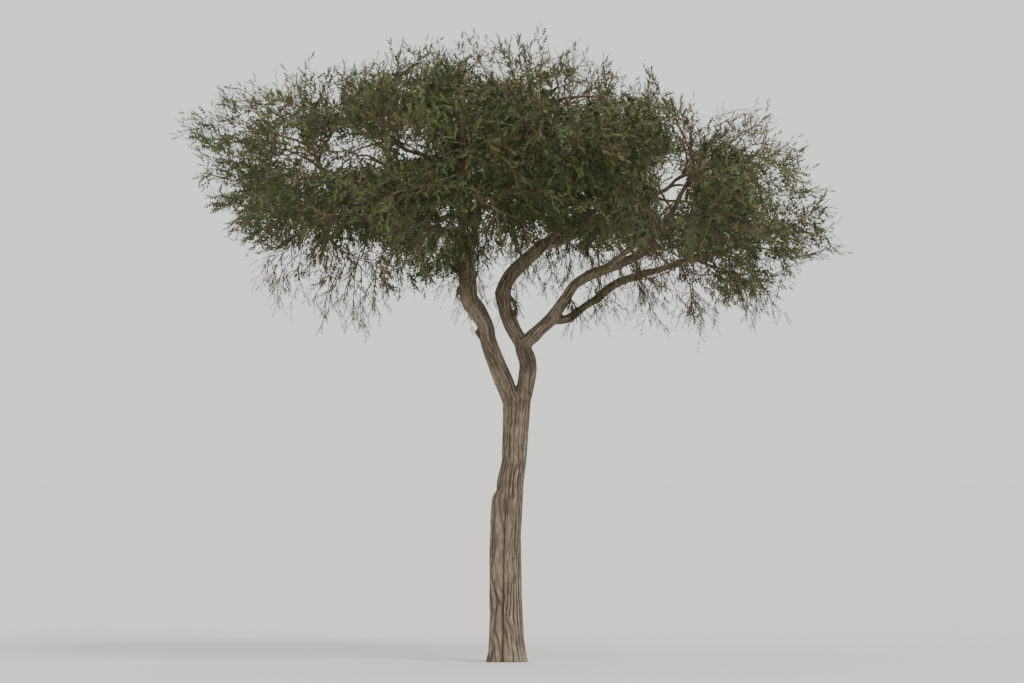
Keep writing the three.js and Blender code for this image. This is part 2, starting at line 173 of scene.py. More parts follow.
def crown_span(x, y):
    """The crown's lowest and highest point above places in plan. Both are the same where it doesn't reach."""
    depth = np.where(y < 0, crown_front, crown_back) * oval_share((x - crown_middle) / crown_half_width)
    thickness = oval_share(y / np.maximum(depth, 1e-6))
    top = np.interp(x, *crown_top.T)
    under = np.interp(x, *crown_under.T)
    middle = (top + under) / 2
    return mix(middle, under, thickness), mix(middle, top, thickness)


def in_crown(points, spare=0.0):
    """Whether points lie in the crown, or no more than spare above or below it."""
    low, high = crown_span(points[..., 0], points[..., 1])
    inside = high - low > 1e-3
    return inside & (points[..., 2] > low - spare) & (points[..., 2] < high + spare)


# %% Where the crown is open or thin, in metres
# Windows on the sky, as rows of [x, height, half width, half height].
sky_windows = np.array([
    [2.0, 5.66, 0.2, 0.36], [-1.66, 6.06, 0.15, 0.13], [-1.14, 6.09, 0.11, 0.12], [-2.18, 5.65, 0.08, 0.08],
])
# Places where the sky only glitters through, as rows of [x, height, half width, half height, share kept].
thin_places = np.array([
    [1.97, 5.65, 0.38, 0.58, 0.3], [3.3, 5.6, 0.55, 0.42, 0.4], [2.95, 6.3, 0.35, 0.3, 0.3],
    [3.47, 5.5, 0.3, 0.22, 0.5], [3.72, 5.2, 0.25, 0.2, 0.4], [2.2, 6.42, 0.3, 0.32, 0.3],
    [1.7, 4.6, 1.3, 0.45, 0.18], [2.95, 4.75, 0.45, 0.25, 0.35], [0.5, 4.85, 0.7, 0.3, 0.4],
    [1.4, 6.8, 0.5, 0.25, 0.6], [0.8, 6.85, 0.3, 0.3, 0.25], [0.55, 7.35, 0.2, 0.15, 0.4],
    [-0.15, 7.12, 0.3, 0.22, 0.3], [-0.45, 5.2, 0.7, 0.45, 0.45], [-2.1, 6.1, 1.3, 0.45, 0.35],
    [-1.95, 6.08, 0.5, 0.32, 0.5], [-1.1, 6.15, 0.5, 0.3, 0.55], [-1.9, 4.75, 1.3, 0.3, 0.35],
    [-3.3, 6.5, 0.5, 0.25, 0.4], [-2.25, 6.8, 0.4, 0.27, 0.3], [-1.2, 7.1, 0.35, 0.2, 0.3],
    [-3.35, 5.95, 0.4, 0.45, 0.45], [-3.3, 5.3, 0.2, 0.2, 0.6], [-0.3, 7.15, 0.15, 0.2, 0.15],
    [-2.7, 6.6, 0.45, 0.15, 0.4], [-1.75, 5.0, 0.5, 0.15, 0.5], [-2.4, 6.85, 0.15, 0.15, 0.3],
    [0.8, 6.85, 0.15, 0.15, 0.2], [2.05, 6.4, 0.2, 0.2, 0.3], [2.8, 6.3, 0.25, 0.2, 0.3],
    [1.85, 4.7, 0.35, 0.15, 0.4],
])
# The depth of the thinning fringe as rows of [x, on top, on the underside], how far outside the skin it
# starts, and its depth at the rim as a share of the crown's half width.
fringe = np.array([
    [-3.9, 0.3, 0.4], [-3.2, 0.5, 0.2], [-2.8, 0.5, 0.5], [-2, 0.3, 0.7], [-1.3, 0.4, 0.5],
    [-0.9, 0.45, 0.3], [-0.4, 0.7, 0.0], [0.5, 0.7, 0.0], [1, 0.7, 0.2], [1.3, 0.5, 0.5], [2.2, 0.6, 0.5],
    [2.7, 0.7, 0.3], [3, 0.8, 0.6], [3.4, 0.7, 0.5], [4, 0.5, 0.6],
])
fringe_outside = 0.05
rim_fringe = 0.08


def distance_to(places, points):
    """How far points lie from each oval place, seen from the camera, with its rim at 1. A point is carried
    along its line of sight to the plane of the trunk."""
    nearness = eye_distance / (eye_distance + points[..., 1, None])
    x = points[..., 0, None] * nearness
    z = mix(eye_height, points[..., 2, None], nearness)
    return np.hypot((x - places[:, 0]) / places[:, 2], (z - places[:, 1]) / places[:, 3])


def fullness_at(points):
    """The share of shoots that the crown carries at a place: one inside, and less towards its skin, by the
    height left above and below and by the share of its width that is left."""
    x, y, z = np.moveaxis(points, -1, 0)
    low, high = crown_span(x, y)
    above = smooth_step(-fringe_outside, np.interp(x, fringe[:, 0], fringe[:, 1]), high - z)
    below = smooth_step(-fringe_outside, np.interp(x, fringe[:, 0], fringe[:, 2]), z - low)
    wide = np.abs((x - crown_middle) / crown_half_width)
    deep = np.abs(y / np.where(y < 0, crown_front, crown_back))
    out = (wide**crown_fullness + deep**crown_fullness) ** (1 / crown_fullness)
    return above * below * smooth_step(0, rim_fringe, 1 - out)


# %% [markdown]
# ## Masses of foliage
# The crown is shared out among masses, two rings of seven and one on top. Each owns the space that is nearer
# to its middle than to any other. Halving a distance again and again finds where a direction from the middle
# meets the skin of that space. Targets for new wood are spread by a sequence that fills a box evenly, and so
# no two tips crowd together.

# %% Places and spaces of the masses
# Each ring: its radius and height as shares of the crown's, its turn, its level, and the places round it.
mass_rings = [
    (0.67, 0.3, 0.0, "low", "right right_back back left_back left_front front right_front"),
    (0.6, 0.7, np.pi / 7, "high", "right_back back left_back left left_front front right_front"),
    (0.0, 0.62, 0.0, "top", "crown"),
]
mass_half = np.array([1.5, 1.5, 1.15])
mass_border = 0.014
halvings = 12
# The number whose fourth power is itself plus one. Steps by its inverse, square and cube fill a box evenly.
even_step = 1.2207440846057596
even_steps = np.array([1 / even_step, 1 / even_step**2, 1 / even_step**3])
seed_steps = np.array([0.137, 0.274, 0.411])

mass_names, mass_middles = [], []
for reach, lift, turn, level, places in mass_rings:
    places = places.split()
    for k, place in enumerate(places):
        angle = turn + 2 * np.pi * k / len(places)
        x = crown_middle + reach * crown_half_width * np.cos(angle)
        y = reach * (crown_front if np.sin(angle) < 0 else crown_back) * np.sin(angle)
        mass_names.append(f"{place}_{level}")
        mass_middles.append([x, y, mix(*crown_span(x, y), lift)])
mass_middles = np.array(mass_middles)
print("masses:", len(mass_names))


def in_space(points, mass):
    """Whether points lie in a mass's space: in its ellipsoid, and nearer to its middle than to the others."""
    away = points - mass_middles[mass]
    across = np.delete(mass_middles, mass, axis=0) - mass_middles[mass]
    distance = np.linalg.norm(across, axis=1)
    nearest = (away @ across.T / distance < distance / 2 - mass_border).all(-1)
    return nearest & (np.linalg.norm(away / mass_half, axis=-1) < 1)


def reach_of(mass, directions):
    """How far a mass's space goes from its middle in each direction. The distance between a place inside and
    one outside is halved again and again."""
    inside = np.zeros(len(directions))
    outside = np.full(len(directions), 2 * mass_half[0])
    for _ in range(halvings):
        half = (inside + outside) / 2
        points = mass_middles[mass] + directions * half[:, None]
        within = in_crown(points) & in_space(points, mass)
        inside = np.where(within, half, inside)
        outside = np.where(within, outside, half)
    return inside


def targets_of(mass, level, tries, depth, push):
    """Targets in a mass's space: even offsets in its box, moved out from a share of the reach to that share
    raised to the power of push, times depth. A push below one gathers them near the skin."""
    index = np.arange(1, tries + 1)[:, None]
    offsets = (2 * ((0.5 + (mass * 3 + level) * seed_steps + index * even_steps) % 1) - 1) * mass_half
    distance = np.linalg.norm(offsets, axis=1)
    directions = offsets / distance[:, None]
    reach = reach_of(mass, directions)
    share = distance / np.maximum(reach, 1e-6)
    inside = share < 1
    away = (reach * depth * share**push)[inside, None]
    return mass_middles[mass] + directions[inside] * away


# %% [markdown]
# ## The limbs and the boughs
# The bare limbs are rows of points along the middle of the wood, with a radius at each. From there on a rule
# takes over: a target is reached from the place on older wood that is near and that points the right way, and
# the new wood starts in its parent's direction and bends towards the target. The middle of each mass is the
# target of one bough.

# %% The bare limbs, as rows of [x, y, z, radius] in metres
limbs = {
    "right_stem": [
        [0.175, 0, 3.08, 0.097], [0.212, 0.005, 3.24, 0.102], [0.254, 0.015, 3.53, 0.109],
        [0.203, 0.018, 3.715, 0.104], [0.19, 0.02, 3.87, 0.098],
    ],
    "left_bough": [
        [0.052, 0, 3.08, 0.098], [-0.008, 0, 3.272, 0.113], [-0.121, -0.015, 3.548, 0.11],
        [-0.213, -0.03, 3.804, 0.099], [-0.252, -0.045, 3.99, 0.098], [-0.343, -0.06, 4.16, 0.114],
        [-0.45, -0.08, 4.336, 0.108], [-0.466, -0.095, 4.522, 0.104], [-0.479, -0.11, 4.69, 0.094],
    ],
    "middle_bough": [
        [0.165, 0.025, 3.81, 0.088], [0.058, 0.04, 4.005, 0.09], [-0.024, 0.08, 4.23, 0.088],
        [-0.05, 0.12, 4.43, 0.1],
    ],
    "upper_middle_bough": [
        [-0.05, 0.115, 4.4, 0.096], [-0.006, 0.15, 4.53, 0.088], [0.08, 0.186, 4.655, 0.086],
        [0.225, 0.234, 4.79, 0.084], [0.4, 0.29, 4.95, 0.076],
    ],
    "right_bough": [
        [0.215, 0.01, 3.8, 0.084], [0.39, -0.02, 3.958, 0.082], [0.54, -0.06, 4.105, 0.082],
        [0.688, -0.09, 4.318, 0.066], [0.8, -0.11, 4.485, 0.061], [1.011, -0.14, 4.618, 0.064],
        [1.255, -0.17, 4.705, 0.06], [1.52, -0.19, 4.82, 0.052],
    ],
    "lower_right_bough": [
        [0.545, -0.055, 4.065, 0.052], [0.747, -0.02, 4.103, 0.054], [0.94, 0.04, 4.248, 0.044],
        [1.072, 0.08, 4.33, 0.05], [1.216, 0.12, 4.455, 0.053], [1.378, 0.16, 4.545, 0.051],
        [1.561, 0.2, 4.6, 0.046],
    ],
}
limbs = {name: np.array(rows) for name, rows in limbs.items()}
# The height above which boughs start on each limb.
grows_from = {"left_bough": 4.5, "upper_middle_bough": 4.7, "right_bough": 4.6, "lower_right_bough": 4.5}
print("limbs:", {name: round(length_of(rows[:, :3]), 2) for name, rows in limbs.items()})

# %% The rule of growth
limb_ring_length = 0.15
turn_penalty = 1.3
parent_pull = 0.7
bend_share = 0.42
tip_margin = 0.1


def ring_shares(first, last, count):
    """Shares of the rings of a stretch of wood, evenly spaced, with the last one a little before its end."""
    ring = np.append(np.arange(1, count), count - tip_margin)
    return mix(first, last, ring / count)


def best_node(points, directions, target):
    """The place on older wood that reaches a target best: the cost is the distance, times one plus a penalty
    that grows as the target lies further off the wood's own direction."""
    way = target - points
    distance = np.linalg.norm(way, axis=-1)
    off = 1 - (way * directions).sum(-1) / distance
    return np.argmin(distance * (1 + turn_penalty * off))


def shoot(start, direction, target):
    """New wood as [start, bend, end]. The bend lies a share of the distance ahead of the start, between the
    parent's direction and the target's."""
    way = target - start
    distance = np.linalg.norm(way, axis=-1, keepdims=True)
    lead = unit(way / distance + parent_pull * direction)
    return np.stack([start, start + lead * distance * bend_share, target], -2)


# %% Grow the boughs as the solids' source does
bough_tip = 0.03
bough_foot = 0.042
bough_rings = 5
# The most that a bough's foot takes of its parent's radius.
foot_room = 0.92
# The last stretch of a bough, which carries the branches of its mass.
stem_length = 0.48
heart = np.array([crown_middle, 0, grows_from["left_bough"]])

nodes = []
for name, lowest in grows_from.items():
    line = limbs[name][:, :3]
    shares = ring_shares(0, 1, round(length_of(through(line, samples)) / limb_ring_length))
    for point, slope, share in zip(through(line, shares), slope_through(line, shares), shares):
        if point[2] > lowest:
            nodes.append((point, slope, name, share))

boughs = {}
for mass in np.argsort(np.linalg.norm(mass_middles - heart, axis=1), kind="stable"):
    points, slopes = (np.array([node[part] for node in nodes]) for part in (0, 1))
    start, slope, owner, share = nodes[best_node(points, slopes, mass_middles[mass])]
    curve = shoot(start, slope, mass_middles[mass])
    end = 1 - stem_length / length_of(bent(curve, samples))
    boughs[mass] = {"curve": curve, "end": end, "owner": owner, "share": share, "load": 1}
    for share in ring_shares(0, end, bough_rings)[1:-1]:
        nodes.append((bent(curve, share), slope_bent(curve, share), mass, share))
for bough in reversed(list(boughs.values())):
    if bough["owner"] in boughs:
        boughs[bough["owner"]]["load"] += bough["load"]


def owner_radius(owner, share):
    """The radius of a limb or of an earlier bough at a share of its line."""
    if owner in boughs:
        return mix(boughs[owner]["foot"], bough_tip, share / boughs[owner]["end"])
    rows = limbs[owner]
    return np.interp(share, np.linspace(0, 1, len(rows)), rows[:, 3])


for bough in boughs.values():
    room = foot_room * owner_radius(bough["owner"], bough["share"])
    bough["foot"] = min(bough_foot * np.sqrt(bough["load"]), room)
print("boughs:", len(boughs), "thickest:", round(max(b["foot"] for b in boughs.values()), 3))

# %% [markdown]
# ## Finer wood inside the masses
# A real crown carries thousands of thorny twigs. One search for all of them would be slow and would cross the
# borders of the masses, so each mass grows alone and in three steps: branches, then twigs, then sprays. Each
# step asks, as the boughs did, which place on older wood reaches a target best, and it may use a place only
# twice.

# %% Branches, twigs and sprays of every mass
# For each kind: the level, tries, depth and push of its targets, the most that are kept, its radii in metres,
# how near the middle of a window it may pass, in half widths, and the sides and rings of its skin.
rule_names = ("level", "tries", "depth", "push", "most", "foot", "tip", "window", "sides", "rings")
kinds = {
    "branch": (1, 40, 0.6, 0.2, 9, 0.019, 0.008, 0, 6, 7),
    "twig": (2, 150, 0.84, 0.6, 46, 0.008, 0.0045, 0.3, 4, 5),
    "spray": (3, 1100, 0.95, 0.85, 270, 0.0045, 0.003, 0.35, 3, 4),
}
kinds = {kind: dict(zip(rule_names, rule)) for kind, rule in kinds.items()}
# Branches start along the stem and a little before it, and later wood along the outer part of its parents.
before_stem = 0.4
stem_places = 7
parent_places = np.linspace(0.3, 1, 6)
uses_of_a_place = 2
# Shares of new wood that are looked at for windows and for the crown's skin.
checked = np.linspace(0.4, 1, 6)


def grow(mass, kind, points, slopes):
    """The curves of one kind of wood in a mass. Each target is tried from the best place that is still free,
    and is left out if its curve would leave the crown or cross a window."""
    rule = kinds[kind]
    free = np.full(len(points), uses_of_a_place)
    curves = []
    for target in targets_of(mass, rule["level"], rule["tries"], rule["depth"], rule["push"]):
        if len(curves) == rule["most"] or not free.any():
            break
        open_places = np.flatnonzero(free)
        k = open_places[best_node(points[open_places], slopes[open_places], target)]
        curve = shoot(points[k], slopes[k], target)
        course = bent(curve, checked)
        if distance_to(sky_windows, course).min() >= rule["window"] and in_crown(course[:-1]).all():
            free[k] -= 1
            curves.append(curve)
    return np.array(curves)


wood = {kind: [] for kind in kinds}
for mass, bough in boughs.items():
    shares = np.linspace(mix(bough["end"], 1, -before_stem), 1, stem_places)
    points, slopes = bent(bough["curve"], shares), slope_bent(bough["curve"], shares)
    for kind in kinds:
        curves = grow(mass, kind, points, slopes)
        wood[kind].append(curves)
        points = np.concatenate([points, bent(curves, parent_places).reshape(-1, 3)])
        slopes = np.concatenate([slopes, slope_bent(curves, parent_places).reshape(-1, 3)])
wood = {kind: np.concatenate(curves) for kind, curves in wood.items()}
print({kind: len(curves) for kind, curves in wood.items()})

# %% [markdown]
# ## Shoots
# The crown's outline is spiky because every spray ends in short leafy shoots. They leave it in turn round the
# stem, each a golden angle on from the last, and are drawn outwards: up on top of the crown, sideways at its
# rim, and down on its underside. Then they are thinned out towards the skin, in windows and thin places, and
# between clumps, because there sky shows through a real crown.

# %% Grow shoots along curves
golden_angle = np.pi * (3 - np.sqrt(5))
draws = np.random.default_rng(11)
# Places of the shoots along a spray, their lean off it at each, in radians, and their shortest and longest.
spray_shoots = ([0.4, 0.63, 0.83, 1.0], [0.85, 0.8, 0.7, 0.2], (0.2, 0.42))
lean_spread = 0.15
# The turn from one curve's shoots to the next one's, so that neighbours differ.
curve_turn = 2.4
# The crown counts as at least this thick where shoots are drawn outwards.
least_thickness = 0.2


def outward(points):
    """The direction from the crown's inside to its skin: the slope of the oval that the crown fills."""
    low, high = crown_span(points[..., 0], points[..., 1])
    middle, half = (low + high) / 2, np.maximum(high - low, least_thickness) / 2
    x = (points[..., 0] - crown_middle) / crown_half_width
    y = points[..., 1] / np.where(points[..., 1] < 0, crown_front, crown_back)
    z = (points[..., 2] - middle) / half
    return np.stack([x**3, y**3, np.clip(z, -1, 1)], -1)


def beside(directions):
    """Two directions across each given one, square to it and to each other, from its cross product with a
    direction that no wood follows exactly."""
    flat = unit(np.cross(directions, [0.13, 0.21, 1.0]))
    return flat, np.cross(directions, flat)


def leaning(slope, turn, lean):
    """Directions that lean off a slope: its own times the cosine of the lean, plus the sine times a direction
    across it that the turn gives."""
    side, over = beside(slope)
    return np.cos(lean) * slope + np.sin(lean) * (np.cos(turn) * side + np.sin(turn) * over)


def grow_shoots(curves, places, leans, lengths, pull):
    """Shoots at set places along each curve, as [start, bend, end]. A shoot's direction leans off its curve
    in turn, plus a pull that is worked out from where it starts."""
    start, slope = bent(curves, places), slope_bent(curves, places)
    turn = (np.arange(len(curves))[:, None] * curve_turn + np.arange(len(places)) * golden_angle)[..., None]
    lean = np.array(leans)[:, None] + draws.uniform(-lean_spread, lean_spread, turn.shape)
    direction = unit(leaning(slope, turn, lean) + pull(start))
    target = start + direction * draws.uniform(*lengths, turn.shape)
    return shoot(start, slope, target).reshape(-1, 3, 3)


shoots = grow_shoots(wood["spray"], *spray_shoots, outward)
shoot_spray = np.repeat(np.arange(len(wood["spray"])), len(spray_shoots[0]))
print("shoots before thinning:", len(shoots))

# %% Thin the shoots out
# Between these distances from a window's middle, or a thin place's, shoots grow from sparse to full.
window_edge = (0.5, 1.2)
thin_edge = (0.5, 1.1)
kept_in_window = 0.2
tip_allowance = 0.1
clump_size = np.array([0.24, 0.7, 0.5])
clump_edge = (0.25, 0.75)
clump_share = 0.75
clump_seed = 17
skin_spare = 0.08

course = bent(shoots, [0.5, 1.0])
share = np.minimum(fullness_at(course[:, 0]), fullness_at(course[:, 1]) + tip_allowance)
from_window = distance_to(sky_windows, course).min(axis=(-1, -2))
share = share * mix(kept_in_window, 1, smooth_step(*window_edge, from_window))
full = smooth_step(*thin_edge, distance_to(thin_places, course[:, 1]))
share = share * mix(thin_places[:, 4], 1, full).prod(axis=-1)
clump = smooth_step(*clump_edge, noise(course[:, 1] / clump_size, clump_seed))
chance = mix(draws.random(len(shoots)), clump, clump_share)
kept = in_crown(shoots[:, 2], skin_spare) & (chance < share)
shoots, shoot_spray = shoots[kept], shoot_spray[kept]
print("shoots:", len(shoots))

# %% [markdown]
# ## Hanging twigs
# Under the crown, long thin twigs hang down where no animal reaches. They start from wood close above the
# underside, spread evenly in plan, swing out along that wood and sag under their own weight. Some drop first
# and swing out later. Each carries side twigs, and all of them carry small leafy shoots.

# %% Where twigs hang from, in metres
# Ovals in plan, as [number of places, middle, half size]: the whole crown, the arch between the forks, the
# arch's left side, and below the right boughs.
hang_ovals = [
    (90, [crown_middle, 0], [0.8 * crown_half_width, 0.8 * crown_back]),
    (36, [0.25, 0], [0.85, 2.2]),
    (24, [-0.3, 0], [0.25, 1.5]),
    (10, [1.5, 0.3], [0.5, 1.2]),
]
# Twigs start at most this far above the underside, above this height, where the crown is at least this thick.
hang_start = 0.5
hang_height = 4.35
hang_thickness = 1.3
most_at_one_place = 3
hang_shares = np.linspace(0.3, 1, 12)

older = np.concatenate([wood["branch"], wood["twig"], *[b["curve"][None] for b in boughs.values()]])
points, slopes = bent(older, hang_shares).reshape(-1, 3), slope_bent(older, hang_shares).reshape(-1, 3)
for name in grows_from:
    points = np.concatenate([points, through(limbs[name][:, :3], hang_shares)])
    slopes = np.concatenate([slopes, slope_through(limbs[name][:, :3], hang_shares)])
low, high = crown_span(points[:, 0], points[:, 1])
near = (points[:, 2] < low + hang_start) & (points[:, 2] > hang_height) & (high - low > hang_thickness)
points, slopes = points[near], slopes[near]
plan = []
for count, middle, half in hang_ovals:
    spread = 2 * ((np.arange(count)[:, None] * even_steps[:2]) % 1) - 1
    plan.append(middle + spread[np.linalg.norm(spread, axis=1) < 1] * half)
plan = np.concatenate(plan)
nearest = np.linalg.norm(points[None, :, :2] - plan[:, None], axis=-1).argmin(axis=1)
turns = np.arange(len(plan)) % most_at_one_place
nearest = np.unique(nearest * most_at_one_place + turns) // most_at_one_place
start, slope = points[nearest], slopes[nearest]
print("hanging twigs:", len(start))

# %% Twigs that hang from the underside
hang_lengths = (0.25, 0.75)
shortest_fall = 0.12
# How low they may hang, as rows of [x, height], and how much higher some of them end.
hang_floor = np.array([
    [-3.2, 4.8], [-2.6, 4.35], [-2, 4.1], [-0.9, 4.1], [-0.4, 4.3], [0.4, 4.2], [1.1, 4.1], [1.6, 4.0],
    [2.4, 4.1], [3.2, 4.15], [3.7, 4.6],
])
floor_spread = 0.3
# How far a twig swings out, as shares of its fall, and how far its end strays.
swing_shares = (0.2, 0.9)
swing_stray = 0.06
# Where its bend lies: if it swings out first, as shares of its swing and of what its parent rises over the
# length of its fall, and if it drops first, as shares of its swing and its fall.
swing_first = (0.9, 0.1)
drop_first = (0.1, 0.8)
in_plan = np.array([1, 1, 0])
upright = np.array([0, 0, 1])
# Places along the parent, leans off it, and lengths.
hanging_sides = ([0.35, 0.55, 0.75, 0.95], [1.0, 0.9, 0.8, 0.7], (0.1, 0.3))
hanging_leafy = ([0.5, 0.8, 1], [0.9, 0.8, 0.2], (0.07, 0.17))


def falling(start):
    """The pull on shoots that hang: straight down, half as strong as their own direction."""
    return -0.5 * upright


fall = draws.uniform(*hang_lengths, (len(start), 1))
lowest = np.interp(start[:, :1], *hang_floor.T) + draws.uniform(0, floor_spread, fall.shape)
fall = np.minimum(fall, np.maximum(shortest_fall, start[:, 2:] - lowest))
away = unit((start - heart) * in_plan + 1e-6)
swing = (slope * in_plan + away) / 2 * fall * draws.uniform(*swing_shares, fall.shape)
swing = swing + draws.normal(0, swing_stray, start.shape)
bend_after_swing = swing_first[0] * swing + swing_first[1] * slope * upright * fall
bend_after_drop = drop_first[0] * swing - drop_first[1] * upright * fall
bend = start + mix(bend_after_swing, bend_after_drop, draws.uniform(0, 1, fall.shape))
hanging = np.stack([start, bend, start + swing - upright * fall], -2)
side_twigs = grow_shoots(hanging, *hanging_sides, falling)
carriers = np.concatenate([side_twigs, hanging])
hanging_shoots = grow_shoots(carriers, *hanging_leafy, falling)
spray_count = len(wood["spray"]) + len(carriers)
spray_of = np.repeat(np.arange(len(wood["spray"]), spray_count), len(hanging_leafy[0]))
shoots, shoot_spray = np.concatenate([shoots, hanging_shoots]), np.concatenate([shoot_spray, spray_of])
print("side twigs:", len(side_twigs), "hanging shoots:", len(hanging_shoots))

# %% [markdown]
# ## Skins of wood
# Every piece of wood is a ring of points carried along a line, and a ring needs two directions across it. For
# a curve with one bend they come from the plane that it lies in. For the limbs, which all lean in the plane
# of the picture, they come from the direction away from the viewer. A whole kind of wood is one array, and
# its faces are one pattern, repeated with an offset. Acacia wood is crooked: a random field shifts the lines
# in the crown a little, and lines that meet are shifted together, so they stay joined.

# %% Crooked lines
# Sizes and amounts of the shifts in metres, and their seeds.
crooks = ((0.24, 0.07, 61), (0.08, 0.024, 67))


def crooked(points):
    """Points moved by smooth random shifts: for each size, the amount times the field's distance from its
    middle value, in each of three directions."""
    shift = np.zeros(points.shape)
    for size, amount, seed in crooks:
        fields = [noise(points / size, seed + axis) for axis in range(3)]
        shift += amount * (np.stack(fields, -1) - 0.5)
    return points + shift


# %% Rings round lines, and the faces between them
def angles_round(sides):
    """Angles of points that stand evenly round a middle."""
    return 2 * np.pi * np.arange(sides) / sides


def rings_round(centres, slopes, across, radii):
    """Points round lines: each centre, plus its radius times the cosine of an angle in one direction and the
    sine in the other. Radii hold one number for each point of each ring."""
    side = unit(np.cross(across, slopes))[..., None, :]
    over = np.cross(slopes[..., None, :], side)
    angle = angles_round(radii.shape[-1])[:, None]
    return centres[..., None, :] + radii[..., None] * (np.cos(angle) * side + np.sin(angle) * over)


def skin_faces(ring_count, sides):
    """Triangles of one tube whose points run ring by ring, plus one point at each end to close it."""
    ring, side = np.meshgrid(np.arange(ring_count - 1), np.arange(sides), indexing="ij")
    a = ring * sides + side
    b = ring * sides + (side + 1) % sides
    walls = np.stack([a, b, b + sides, a, b + sides, a + sides], -1).reshape(-1, 3)
    first, last = ring_count * sides, ring_count * sides + 1
    k = np.arange(sides)
    foot = np.stack([np.full(sides, first), (k + 1) % sides, k], -1)
    top = (ring_count - 1) * sides
    tip = np.stack([np.full(sides, last), top + k, top + (k + 1) % sides], -1)
    return np.concatenate([walls, foot, tip])


def skins(grid, first, last):
    """Closed tubes from an array of rings, as one list of points and one of triangles. First and last are the
    points that close each tube."""
    count, ring_count, sides, _ = grid.shape
    points = np.concatenate([grid.reshape(count, -1, 3), first[:, None], last[:, None]], axis=1)
    faces = skin_faces(ring_count, sides) + (np.arange(count) * points.shape[1])[:, None, None]
    return points.reshape(-1, 3), faces.reshape(-1, 3)


def bent_wood(curves, foot, tip, sides, ring_count):
    """Round wood along Bezier curves, thinning from foot to tip and closed in a point there."""
    shares = np.linspace(0, 1, ring_count + 1)[:-1]
    radii = mix(foot, tip, shares)[:, None] * np.ones(sides)
    line, across = crooked(bent(curves, shares)), plane_of(curves)[:, None]
    grid = rings_round(line, slope_bent(curves, shares), across, radii)
    return skins(grid, crooked(curves[:, 0]), crooked(curves[:, 2]))


def join(parts):
    """Several lists of points and triangles as one."""
    offsets = np.cumsum([0] + [len(points) for points, _ in parts[:-1]])
    faces = np.concatenate([faces + offset for (_, faces), offset in zip(parts, offsets)])
    return np.concatenate([points for points, _ in parts]), faces


# %% Put arrays into a Blender object
def add_object(name, data):
    """An object made from its data and put into the scene."""
    made = bpy.data.objects.new(name, data)
    bpy.context.scene.collection.objects.link(made)
    return made


def add_piece(name, points, faces, material, slot, nodes=(), smooth=True, **attributes):
    """A mesh object from arrays: points and triangles go in whole, and each attribute holds one number for
    each point. The object stays at the origin and rides with the tree."""
    mesh = bpy.data.meshes.new(name)
    mesh.vertices.add(len(points))
    mesh.vertices.foreach_set("co", points.astype(np.float32).ravel())
    mesh.loops.add(faces.size)
    mesh.loops.foreach_set("vertex_index", faces.astype(np.int32).ravel())
    mesh.polygons.add(len(faces))
    mesh.polygons.foreach_set("loop_start", np.arange(0, faces.size, 3, dtype=np.int32))
    for key, values in attributes.items():
        attribute = mesh.attributes.new(key, "FLOAT", "POINT")
        attribute.data.foreach_set("value", values.astype(np.float32))
    mesh.update(calc_edges=True)
    if smooth:
        mesh.shade_smooth()
    else:
        mesh.shade_flat()
    mesh.materials.append(material)
    piece = add_object(name, mesh)
    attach(piece, "root")
    if nodes:
        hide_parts(*nodes)
    print(name, "triangles:", len(faces))


# %% [markdown]
# ## Materials
# A material is a small net of nodes. One function adds a node, sets its properties and links its sockets, and
# short ones built on it name what a node does, so a net reads as a list. Colours are written as the hex
# values of a paint chart, and one function turns them into the linear numbers that light is added up in.

# %% Colours and nodes
mm = 0.001


def linear(hex_colour):
    """An sRGB hex colour as linear red, green and blue: a channel is divided by 12.92 where it is dark, and
    otherwise follows a power of 2.4."""
    channels = np.array([int(hex_colour[k:k + 2], 16) for k in (1, 3, 5)]) / 255
    bright = ((channels + 0.055) / 1.055) ** 2.4
    return (*np.where(channels <= 0.04045, channels / 12.92, bright), 1.0)


def new_material(name):
    """An empty material that uses nodes, and its net."""
    material = bpy.data.materials.new(name)
    material.use_nodes = True
    material.node_tree.nodes.clear()
    return material, material.node_tree


def add_node(tree, kind, sockets=None, **settings):
    """Adds a shader node. Settings are its properties, and sockets gives inputs a value or a link."""
    node = tree.nodes.new("ShaderNode" + kind)
    for key, value in settings.items():
        setattr(node, key, value)
    for key, value in (sockets or {}).items():
        if isinstance(value, bpy.types.NodeSocket):
            tree.links.new(value, node.inputs[key])
        else:
            node.inputs[key].default_value = value
    return node


def noise_at(net, place, size, detail):
    """Noise with features of a size in metres, so its scale is one over that size."""
    return add_node(net, "TexNoise", {"Vector": place, "Scale": 1 / size, "Detail": detail}).outputs["Fac"]


def spread_out(net, value, low, high):
    """A value spread evenly, so that low becomes 0 and high becomes 1."""
    return add_node(net, "MapRange", {"Value": value, "From Min": low, "From Max": high}).outputs[0]


def mix_colours(net, share, first, second):
    """The colour a share of the way from the first to the second. On a mix node, inputs 0, 6 and 7 are the
    share and the colours, and output 2 is the result."""
    return add_node(net, "Mix", {0: share, 6: first, 7: second}, data_type="RGBA").outputs[2]


def end_net(net, kind, sockets):
    """Ends a net in a shader of a kind, which becomes the material's surface."""
    add_node(net, "OutputMaterial", {"Surface": add_node(net, kind, sockets).outputs["BSDF"]})


# %% [markdown]
# ### Bark
# Old acacia bark is a dead, corky skin that splits along the stem as the wood inside thickens. Between the
# splits it weathers to a dull grey brown. The relief is real geometry, and the mesh also tells the material
# how deep each point lies in a split or in the groove beside the old stem, where the material paints shade
# into the colour: the deeper, the darker. Fine grain is added by noise.

# %% Bark material
grain = 9 * mm
blotch = 160 * mm

